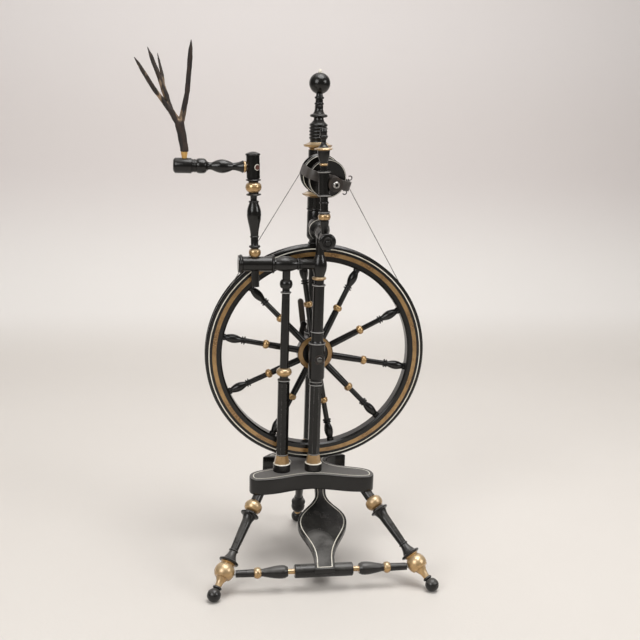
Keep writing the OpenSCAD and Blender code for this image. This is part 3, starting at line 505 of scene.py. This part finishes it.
# Stage: a seamless pale sweep and soft lamps, in metres, with painted light and shade on the paper by height in
# millimetres
SWEEP_SIZE, SWEEP_Y, SWEEP_TALL = 9, -1.6, 5
SWEEP_BEND, SWEEP_BEND_STEPS = 1.6, 24
FLOOR_DROP = 0.0002
NEAR = 0.01
PAPER, PAPER_MARKS = (0.675, 0.642, 0.602, 1), (0.655, 0.620, 0.578, 1)
PAINTED_LIGHT_BY_HEIGHT = [(0, 100, (0.770, 0.745, 0.715, 1)), (120, 600, (0.635, 0.592, 0.572, 1)),
                   (650, 1300, (0.690, 0.655, 0.640, 1))]
LAMP_TINT, WASH_TINT = (1.0, 0.99, 0.98), (1.0, 0.985, 0.98)
ROOM, ROOM_GLOW = (0.80, 0.775, 0.75, 1), 0.22


def paper(name):
    """Paper of the sweep: painted light and shade change its tone with the height, as the photograph's backdrop
    does.
    """
    f = Finish(name)
    colour = f.mix(f.noise(1.6, 4, 0.6).rise(0.3, 0.7) * 0.5, PAPER, PAPER_MARKS)
    height = f.above_floor()
    for low, high, tone in PAINTED_LIGHT_BY_HEIGHT:
        colour = f.mix(height.rise(low, high), colour, tone)
    f.wear(Base_Color=colour, Roughness=0.62)
    f.relief(f.noise(220, 3), 0.4)
    return f.material


def sweep():
    bpy.ops.object.select_all(action="DESELECT")
    bpy.ops.mesh.primitive_plane_add(size=SWEEP_SIZE, location=(0, SWEEP_Y, -FLOOR_DROP))
    floor = bpy.context.object
    floor.name = "sweep"
    bpy.ops.object.transform_apply(location=True, rotation=True, scale=True)
    back = max(v.co.y for v in floor.data.vertices) - NEAR
    bpy.ops.object.mode_set(mode="EDIT")
    pick_edges(floor, lambda edge: all(v.co.y > back for v in edge.verts))
    bpy.ops.mesh.extrude_region_move(TRANSFORM_OT_translate={"value": (0, 0, SWEEP_TALL)})
    pick_edges(floor, lambda edge: all(v.co.y > back and v.co.z < NEAR for v in edge.verts))
    bpy.ops.mesh.bevel(offset=SWEEP_BEND, segments=SWEEP_BEND_STEPS, affect="EDGES")
    bpy.ops.object.mode_set(mode="OBJECT")
    smoothed(floor, ROUND_CREASE)
    floor.data.materials.append(paper("pale_sweep"))


def lamp(name, place, target, size, power, tint=LAMP_TINT):
    light = bpy.data.lights.new(name, "AREA")
    light.shape = "DISK"
    light.size = size
    light.energy = power
    light.color = tint
    obj = bpy.data.objects.new(name, light)
    aim = (Vector(target) - Vector(place)).to_track_quat("-Z", "Y")
    obj.matrix_world = Matrix.Translation(place) @ aim.to_matrix().to_4x4()
    bpy.context.scene.collection.objects.link(obj)


def studio():
    middle = (0, 0, 0.5)
    lamp("overhead", (0.4, -0.5, 3.3), middle, size=2.2, power=66)
    lamp("left_front", (-2.3, -2.4, 2.1), middle, size=2.2, power=62)
    lamp("right_front", (2.6, -1.8, 1.9), middle, size=1.2, power=29)
    lamp("backdrop_wash", (0.5, 0.9, 3.2), (0.4, 2.6, 0.5), size=3.4, power=38, tint=WASH_TINT)
    world = bpy.data.worlds.new("room")
    bpy.context.scene.world = world
    world.use_nodes = True
    background = world.node_tree.nodes["Background"]
    background.inputs["Color"].default_value = ROOM
    background.inputs["Strength"].default_value = ROOM_GLOW
    bpy.context.scene.view_settings.view_transform = "Standard"


sweep()
studio()

# Legs: places of the gilt down a leg of the drawn length, and on the rear leg's pear
LEG_DRAWN = 208.6
BEAD_FROM, BEAD_TO, PEAR_FROM = 19.6, 41.4, 146
PEAR_AT = 0.78
RING_FROM, RING_TO = 4, 20
ANKLE, ANKLE_RIM = 14.1, 2.6


def leg(node, top, foot, gilt_pear):
    """A leg with a gilt bead and a gilt pear, or a pear with a gilt ring."""
    start = at(*top)
    line = at(*foot) - start
    length = line.length / MM
    stretch = length / LEG_DRAWN
    pear = (length * PEAR_AT + RING_FROM, length * PEAR_AT + RING_TO, "gilt")
    if gilt_pear:
        pear = (PEAR_FROM * stretch, length - ANKLE - ANKLE_RIM, "gilt")
    bands = [(BEAD_FROM * stretch, BEAD_TO * stretch, "gilt"), pear]
    # The legs' dust share also paints their upper faces paler, as painted top light.
    turned(node, lacquered("lacquer_" + node, lambda f: f.along(start, line.normalized()), bands,
                           dust=0.6, satin=0.13))


leg("front_left_leg", (-109, -32, 152), (-200.5, -157, 12), gilt_pear=True)
leg("front_right_leg", (93, -32, 152), (200.5, -157, 12), gilt_pear=True)
leg("rear_leg", (-14, 84, 152), (-5.5, 172, 12), gilt_pear=False)

# Posts: bands by their height above the floor; their thin grey lines and the cream line at each collar's foot are
# painted highlights on ring edges
COLLAR_TOP = 217
COLLAR = [(197.6, 199.2, "cream"), (199.2, 214.6, "gilt"), (215.6, 216.6, "highlight_line")]
BLOCK_LINES = [(353.4, 354.6, "highlight_line"), (359.6, 360.6, "highlight_line"),
               (433.6, 435.0, "highlight_line"), (455.4, 456.8, "highlight_line")]


def octagon_edges(x, y, top):
    """Where the edges of an eight-sided column are painted pale: rubbed paint and painted edge highlight."""
    foot = at(x, y, 0)

    def rubbed(f):
        aside = f.along(foot, SIDE)
        eighths = aside.worked("ARCTAN2", aside, f.along(foot, FRONT)) * (8 / (2 * math.pi)) - 0.5
        off = abs(eighths - eighths.worked("ROUND", eighths))
        return (1 - off.rise(0.015, 0.05)) * f.above_floor().band(COLLAR_TOP, top, 1) * 0.25
    return rubbed


def post(node, x, y, bands, octagon_top=352):
    turned(node, lacquered("lacquer_" + node, Finish.above_floor, COLLAR + bands, grain=GRAIN_Z,
                           edges=octagon_edges(x, y, octagon_top), age=0.08, satin=0.10))


post("main_post", -3, 0, BLOCK_LINES + [(543.8, 545.2, "highlight_line"), (554.2, 560.8, "gilt")])
post("distaff_post", -64, 0, [(362.4, 363.6, "highlight_line"), (371.2, 386.8, "gilt"), (529.8, 531.2, "highlight_line")],
     octagon_top=357)
post("rear_post", 1.5, 90, BLOCK_LINES + [(698.5, 708.0, "gilt"), (786.5, 800.5, "gilt"),
                                          (927.6, 940, "cream")])

# Cross arm, and the distaff's stem and arm
STEM_X, STEM_FOOT, STEM_TALL, STEM_LEAN = -122, 583.5, 175, -2.1
BLOCK_X = STEM_X + STEM_TALL * math.sin(math.radians(STEM_LEAN))
ARM_Z = 758
PEG_X, PEG_Z = BLOCK_X + 1, 758.4
peg_line = Vector((0.5, -0.866, 0))
turned("cross_arm", lacquered("lacquer_cross_arm", grain=GRAIN_X))
turned("distaff_stem", lacquered(
    "lacquer_distaff_stem", lambda f: f.along(at(STEM_X, 0, STEM_FOOT), leaning(STEM_LEAN)),
    [(13.8, 28.2, "gilt"), (130.3, 147.7, "gilt")], grain=GRAIN_Z,
    ring=lambda f: f.out_from(at(PEG_X, 0, PEG_Z), peg_line).band(4.2, 5.6, 0.3)))
turned("distaff_arm", lacquered(
    "lacquer_distaff_arm", lambda f: f.along(at(BLOCK_X, 0, ARM_Z), SIDE),
    [(-17.6, -12.2, "gilt")], grain=GRAIN_X))

# Flyer bar and maiden: the maiden's thin grey lines are painted highlights on its ring edges
BAR_AT, BAR_RISE = (-2, 0, 642), math.radians(5.5)
MAIDEN_AT, MAIDEN_LEAN = (-3, -47, 637.5), -2.5
bar_line = Vector((0, math.cos(BAR_RISE), math.sin(BAR_RISE)))
turned("flyer_bar", lacquered(
    "lacquer_flyer_bar", lambda f: f.along(at(*BAR_AT), bar_line), [(18.7, 21.2, "cream")], grain=GRAIN_Y))
turned("front_maiden", lacquered(
    "lacquer_front_maiden", lambda f: f.along(at(*MAIDEN_AT), leaning(MAIDEN_LEAN)),
    [(34.6, 43.8, "gilt"), (128.9, 133.2, "gilt"), (155.6, 160.6, "gilt"), (46.6, 47.6, "highlight_line"),
     (76.4, 77.6, "highlight_line"), (117.4, 118.6, "highlight_line")], grain=GRAIN_Z))

# Wheel: bands by their distance from the axle, on the front faces of the rim and the hub
RIM_FACE_Y, HUB_FACE_Y = 28.2, 34.4
FELLOES, SPOKES = 4, 10


def from_axle(f):
    return f.out_from(axle, FRONT)


rim_paint = lacquered("lacquer_rim", from_axle, [(189.2, 196.7, "gilt"), (201.9, 203.7, "cream")],
                      only=lambda f: f.along(at(0, RIM_FACE_Y, 0), FRONT).rise(0, 0.6), dust=0, age=0.4)
for number in range(1, FELLOES + 1):
    turned("felloe_%d" % number, rim_paint)
spoke_paint = lacquered("lacquer_spoke", from_axle, [(90.8, 102.2, "gilt")], dust=0, age=0.12)
for number in range(1, SPOKES + 1):
    turned("spoke_%d" % number, spoke_paint)
turned("hub", lacquered("lacquer_hub", from_axle, [(24.3, 33.6, "gilt")],
                        only=lambda f: f.along(at(0, HUB_FACE_Y, 0), FRONT).rise(0, 0.5), dust=0, age=0.4))


# Bobbin: cream lines by their distance from the flyer's axis, painted highlights on the flanges' rims
def from_flyer(f):
    return f.out_from(flyer_mid, flyer_line)


turned("bobbin_whorl", lacquered("lacquer_whorl", from_flyer, [(34.6, 35.6, "cream")],
                                 only=lambda f: f.along(flyer_mid, flyer_line).rise(5, 6), dust=0))
turned("bobbin_disc", lacquered("lacquer_disc", from_flyer, [(33.4, 34.3, "cream")], dust=0))
turned("bobbin_core", lacquered("lacquer_core", dust=0))

# Pins, axle, bearings, flyer, crank and footman
steel = forged("worn_steel", STEEL, STEEL_RUST, rough=0.28)
iron = forged("forged_iron", IRON, IRON_RUST, rough=0.30)
greased_leather = leather("greased_leather")
bentwood = plain_wood("dark_bentwood", BENTWOOD, BENTWOOD_DEEP, grain=(0.2, 1, 1), rough=0.38)
for node in ("flyer_spindle", "treadle_pins", "footman_pin"):
    turned(node, steel)
eased("axle", forged("dark_iron", AXLE_IRON, AXLE_RUST, rough=0.12), width=3.4)
for node in ("front_bearing", "rear_bearing", "front_axle_bush", "rear_axle_bush"):
    turned(node, greased_leather)
turned("flyer_hooks", iron, ROUND_CREASE)
eased("flyer_arms", bentwood, width=0.8)
eased("crank", iron, width=0.9)
eased("footman", plain_wood("worn_ash", ASH, ASH_DEEP, grain=(1, 1, 0.1), rough=0.46), width=0.9)

# Treadle bar: gilt necks and beads out from its barrel, on an end of the drawn length
BAR_X, BAR_HALF, END_DRAWN = -1.76, 158.61, 104.6
BARREL_HALF, BARREL_OFF = 54, 2.6
END_GILT = [(0.3, 11.9), (59.6, 72.4)]


def bar_bands():
    bands = []
    for side in (-1, 1):
        begin = BARREL_HALF + side * BARREL_OFF
        stretch = (BAR_HALF - begin) / END_DRAWN
        for ends in END_GILT:
            low, high = sorted(side * (begin + end * stretch) for end in ends)
            bands.append((low, high, "gilt"))
    return bands


# The bar's dust share also paints its top paler, as painted top light.
turned("treadle_bar", lacquered("lacquer_treadle_bar", lambda f: f.along(at(BAR_X, 0, 0), SIDE), bar_bands(),
                                grain=GRAIN_X, dust=0.8))

# Distaff pegs
turned("stem_peg", plain_wood("red_peg", RED_WOOD, RED_DEEP, grain=(1, 0.2, 1), rough=0.45))
turned("branch_peg", plain_wood("yellow_peg", YELLOW_WOOD, YELLOW_DEEP, grain=(1, 1, 0.2), rough=0.5))

# Table and treadle board: cut to the solids' outlines, eased, lined and worn by use, with the table's top also
# painted grey as painted sheen
FLAT, NEARLY_FLAT, STEEP = 0.98, 0.9, 0.3
LOOP_MERGE, LOOP_LEAST, LOOP_STEP = 0.02, 0.2, 2.5
CORNER, SHARP_CORNER = math.radians(20), math.radians(60)
LINE_WIDTH = 1.6
FIELD_SIDES = 20
TABLE_TOP = 183
FORK_DEEP = 19
SOLE_IN, SOLE_LONG, SOLE_WIDE = 50, 62, 34


def top_loop(node, up):
    """The outline of a solid's top face, in order."""
    mesh = bmesh.new()
    mesh.from_mesh(nodes[node].data)
    bmesh.ops.remove_doubles(mesh, verts=mesh.verts, dist=LOOP_MERGE * MM)
    mesh.verts.ensure_lookup_table()
    mesh.verts.index_update()
    next_to = {}
    for edge in mesh.edges:
        slopes = sorted((face.normal.dot(up) for face in edge.link_faces), key=abs)
        if len(slopes) == 2 and slopes[1] > FLAT and abs(slopes[0]) < STEEP:
            for here, there in (edge.verts, reversed(edge.verts)):
                next_to.setdefault(here.index, []).append(there.index)
    loops = []
    while next_to:
        here = next(iter(next_to))
        loop = []
        while here in next_to:
            loop.append(mesh.verts[here].co.copy())
            there = [v for v in next_to.pop(here) if v in next_to]
            here = there[0] if there else None
        loops.append(loop)
    mesh.free()
    return max(loops, key=len)


def reaches(line):
    """Lengths along a line up to each of its points."""
    lengths = [0.0]
    for here, there in zip(line, line[1:]):
        lengths.append(lengths[-1] + (there - here).length)
    return lengths


def point_on(line, reach, wanted):
    """The point at a wanted length along a line."""
    k = next(k for k in range(len(line) - 1) if reach[k + 1] >= wanted)
    return line[k].lerp(line[k + 1], (wanted - reach[k]) / (reach[k + 1] - reach[k]))


def even_loop(loop, clear):
    """The outline with evenly spaced points: corners stay, and sharp ones have no other point close by."""
    loop = [p for i, p in enumerate(loop) if (p - loop[i - 1]).length > LOOP_LEAST * MM]
    count = len(loop)
    turns = [(loop[i] - loop[i - 1]).angle(loop[(i + 1) % count] - loop[i]) for i in range(count)]
    corners = [i for i in range(count) if turns[i] > CORNER] or [0]
    sharp = [i for i in corners if turns[i] > SHARP_CORNER]
    points = []
    for first, last in zip(corners, corners[1:] + [corners[0] + count]):
        run = [loop[i % count] for i in range(first, last + 1)]
        reach = reaches(run)
        pieces = max(1, round(reach[-1] / (LOOP_STEP * MM)))
        for j in range(pieces):
            wanted = reach[-1] * j / pieces
            near_first = first in sharp and wanted < clear * MM
            near_last = last % count in sharp and reach[-1] - wanted < clear * MM
            if j == 0 or not (near_first or near_last):
                points.append(point_on(run, reach, wanted))
    return points


def lined_slab(name, loop, up, thick, ease, inset):
    """A board cut to an outline, with eased edges and a line drawn a little way in, in material slot 1."""
    bpy.ops.object.select_all(action="DESELECT")
    bpy.ops.mesh.primitive_circle_add(vertices=len(loop), fill_type="NGON")
    obj = bpy.context.object
    obj.name = name
    bpy.ops.object.mode_set(mode="EDIT")
    mesh = bmesh.from_edit_mesh(obj.data)
    mesh.verts.ensure_lookup_table()
    for vert, place in zip(mesh.verts, loop):
        vert.co = place
    bmesh.update_edit_mesh(obj.data)
    bpy.ops.mesh.select_all(action="SELECT")
    bpy.ops.mesh.extrude_region_move(TRANSFORM_OT_translate={"value": -up * (thick * MM)})
    bpy.ops.mesh.select_all(action="SELECT")
    bpy.ops.mesh.normals_make_consistent(inside=False)
    pick_edges(obj, lambda edge: sum(abs(face.normal.dot(up)) > FLAT for face in edge.link_faces) == 1)
    bpy.ops.mesh.bevel(offset=ease * MM, segments=EASE_STEPS, affect="EDGES", clamp_overlap=False)
    pick_faces(obj, lambda face: face.normal.dot(up) > FLAT and len(face.verts) > FIELD_SIDES)
    bpy.ops.mesh.inset(thickness=(inset - ease) * MM, depth=0)
    bpy.ops.mesh.inset(thickness=LINE_WIDTH * MM, depth=0)
    mesh = bmesh.from_edit_mesh(obj.data)
    field = next(face for face in mesh.faces if face.select)
    for edge in field.edges:
        for face in edge.link_faces:
            face.material_index = 0 if face is field else 1
    bmesh.update_edit_mesh(obj.data)
    bpy.ops.object.mode_set(mode="OBJECT")
    bpy.ops.object.transform_apply(location=True, rotation=True, scale=True)
    smoothed(obj, BOARD_CREASE)
    return obj


def table_wear_and_sheen(f):
    """The top is painted grey all over: rubbed wear and dust, and painted sheen standing for the pale backdrop's
    reflection.
    """
    level = f.above_floor().rise(TABLE_TOP - 1.2, TABLE_TOP - 0.2)
    return level * (0.75 + 0.25 * f.broad.rise(0.35, 0.65) + 0.25 * f.strokes.rise(0.4, 0.7))


def table():
    loop = even_loop(top_loop("table", UP), clear=19)
    obj = lined_slab("lined_table", loop, UP, thick=31, ease=2.2, inset=6.8)
    dressed(obj, lacquered("lacquer_table", grain=BOARD_GRAIN, wear_and_sheen=table_wear_and_sheen), "table")
    obj.data.materials.append(cream_line("table_line"))


def forked(obj, fork, back):
    """Cuts the fork for the footman out of the board's far end."""
    left, right = fork[0].x, fork[-1].x
    root = min(fork, key=lambda point: point.y)
    reach = 2 * FORK_DEEP * MM
    middle = Vector(((left + right) / 2, root.y, root.z)) + back * (reach / 2)
    bpy.ops.object.select_all(action="DESELECT")
    bpy.ops.mesh.primitive_cube_add(size=1, location=middle, rotation=(math.atan2(back.z, back.y), 0, 0),
                                    scale=(right - left, reach, reach))
    saw = bpy.context.object
    only_selected(obj)
    cut = obj.modifiers.new("fork", "BOOLEAN")
    cut.object = saw
    cut.operation = "DIFFERENCE"
    cut.solver = "EXACT"
    bpy.ops.object.modifier_apply(modifier=cut.name)
    bpy.data.objects.remove(saw)
    smoothed(obj, BOARD_CREASE)


def treadle_board():
    tops = [face.normal for face in nodes["treadle_board"].data.polygons if face.normal.z > NEARLY_FLAT]
    up = sum(tops, ORIGIN).normalized()
    back = up.cross(SIDE)
    loop = top_loop("treadle_board", up)
    far_end = max(point.y for point in loop)
    prongs = [point for point in loop if point.y > far_end - FORK_DEEP * MM]
    fork = sorted(prongs, key=lambda point: point.x)[1:-1]
    loop = even_loop([point for point in loop if point not in fork], clear=10)
    obj = lined_slab("lined_treadle", loop, up, thick=12, ease=1.4, inset=4.5)
    forked(obj, fork, back)
    front = min(loop, key=lambda point: point.y)
    centre = Vector((axle.x, front.y, front.z)) + back * (SOLE_IN * MM)

    def wear_and_sheen(f):
        """Soles have rubbed the front half grey, up to a round edge."""
        ahead = f.along(centre, back) / SOLE_LONG
        aside = f.along(centre, SIDE) / SOLE_WIDE
        foot = ahead * ahead + aside * aside + (f.broad - 0.5) * 0.7
        edge = (1 - abs(foot - 1).rise(0.0, 0.05)) * f.fine.rise(0.5, 0.62) * 0.6
        rubbed = 0.30 + 0.5 * f.broad.rise(0.35, 0.65) + 0.4 * f.fine.rise(0.5, 0.7)
        sole = (1 - foot.rise(0.55, 1.1)) * rubbed
        return (sole + edge) * f.along(front, up).rise(-0.8, -0.2)

    dressed(obj, lacquered("lacquer_treadle", grain=BOARD_GRAIN, wear_and_sheen=wear_and_sheen), "treadle_board")
    obj.data.materials.append(cream_line("treadle_line"))


table()
treadle_board()


# Branch: the solid's limbs, grown together, smoothed and given bark
def branch():
    obj = copy_of("distaff_branch", "forked_branch")
    grow = obj.modifiers.new("grow", "REMESH")
    grow.mode = "VOXEL"
    grow.voxel_size = 0.8 * MM
    bpy.ops.object.modifier_apply(modifier=grow.name)
    soften = obj.modifiers.new("soften", "SMOOTH")
    soften.factor = 0.5
    soften.iterations = 5
    bpy.ops.object.modifier_apply(modifier=soften.name)
    knobs = bpy.data.textures.new("knobs", "CLOUDS")
    knobs.noise_scale = 14 * MM
    knobs.noise_depth = 3
    swell = obj.modifiers.new("swell", "DISPLACE")
    swell.texture = knobs
    swell.texture_coords = "LOCAL"
    swell.strength = 1.6 * MM
    swell.mid_level = 0.3
    bpy.ops.object.modifier_apply(modifier=swell.name)
    smoothed(obj, ROUND_CREASE)
    dressed(obj, bark("branch_bark"), "distaff_branch")


branch()

# Drive band: two twisted strands along the band's route, round the rim and the whorl
RIM_PITCH, WHORL_PITCH, FLYER_RISE = 206.2, 34.9, 340
RIM_STEPS, WHORL_STEPS = 140, 24
BAND_R, STRAND_R, TWIST = 0.9, 0.47, 4.2
ROUTE_STEP = 0.55


def arc(centre, across, rise, radius, start, sweep_angle, steps):
    """Points round a centre, from a start angle through a sweep."""
    angles = [start + sweep_angle * i / steps for i in range(steps + 1)]
    return [centre + (across * math.cos(a) + rise * math.sin(a)) * radius * MM for a in angles]


def band_route():
    """Points of the closed route, close together."""
    slope = math.asin((RIM_PITCH - WHORL_PITCH) / FLYER_RISE)
    across = UP.cross(flyer_line).normalized()
    rise = flyer_line.cross(across).normalized()
    rim = arc(axle, SIDE, UP, RIM_PITCH, math.pi - slope, math.pi + 2 * slope, RIM_STEPS)
    whorl = arc(flyer_mid, across, rise, WHORL_PITCH, slope, math.pi - 2 * slope, WHORL_STEPS)
    corners = rim + whorl
    route = []
    for here, there in zip(corners, corners[1:] + corners[:1]):
        count = max(1, round((there - here).length / (ROUTE_STEP * MM)))
        route += [here.lerp(there, i / count) for i in range(count)]
    return route


def strand(route, phase):
    """One strand, twisted round the route from a phase in turns."""
    reach = reaches(route + route[:1])
    turns = round(reach[-1] / (TWIST * MM))
    shape = bpy.data.curves.new("strand", "CURVE")
    shape.dimensions = "3D"
    shape.bevel_depth = STRAND_R * MM
    shape.bevel_resolution = 0
    spline = shape.splines.new("POLY")
    spline.points.add(len(route) - 1)
    spline.use_cyclic_u = True
    for i, point in enumerate(route):
        ahead = (route[(i + 1) % len(route)] - route[i - 1]).normalized()
        out = ahead.cross(FRONT).normalized()
        over = out.cross(ahead)
        turn = 2 * math.pi * (turns * reach[i] / reach[-1] + phase)
        offset = (out * math.cos(turn) + over * math.sin(turn)) * (BAND_R - STRAND_R) * MM
        spline.points[i].co = (*(point + offset), 1)
    obj = bpy.data.objects.new("strand", shape)
    bpy.context.scene.collection.objects.link(obj)
    only_selected(obj)
    bpy.ops.object.convert(target="MESH")
    return bpy.context.object


def drive_band():
    route = band_route()
    strands = [strand(route, phase) for phase in (0, 0.5)]
    only_selected(*strands)
    bpy.ops.object.join()
    band = bpy.context.object
    band.name = "twisted_band"
    smoothed(band, ROUND_CREASE)
    dressed(band, twine("grey_twine"), "drive_band")


drive_band()
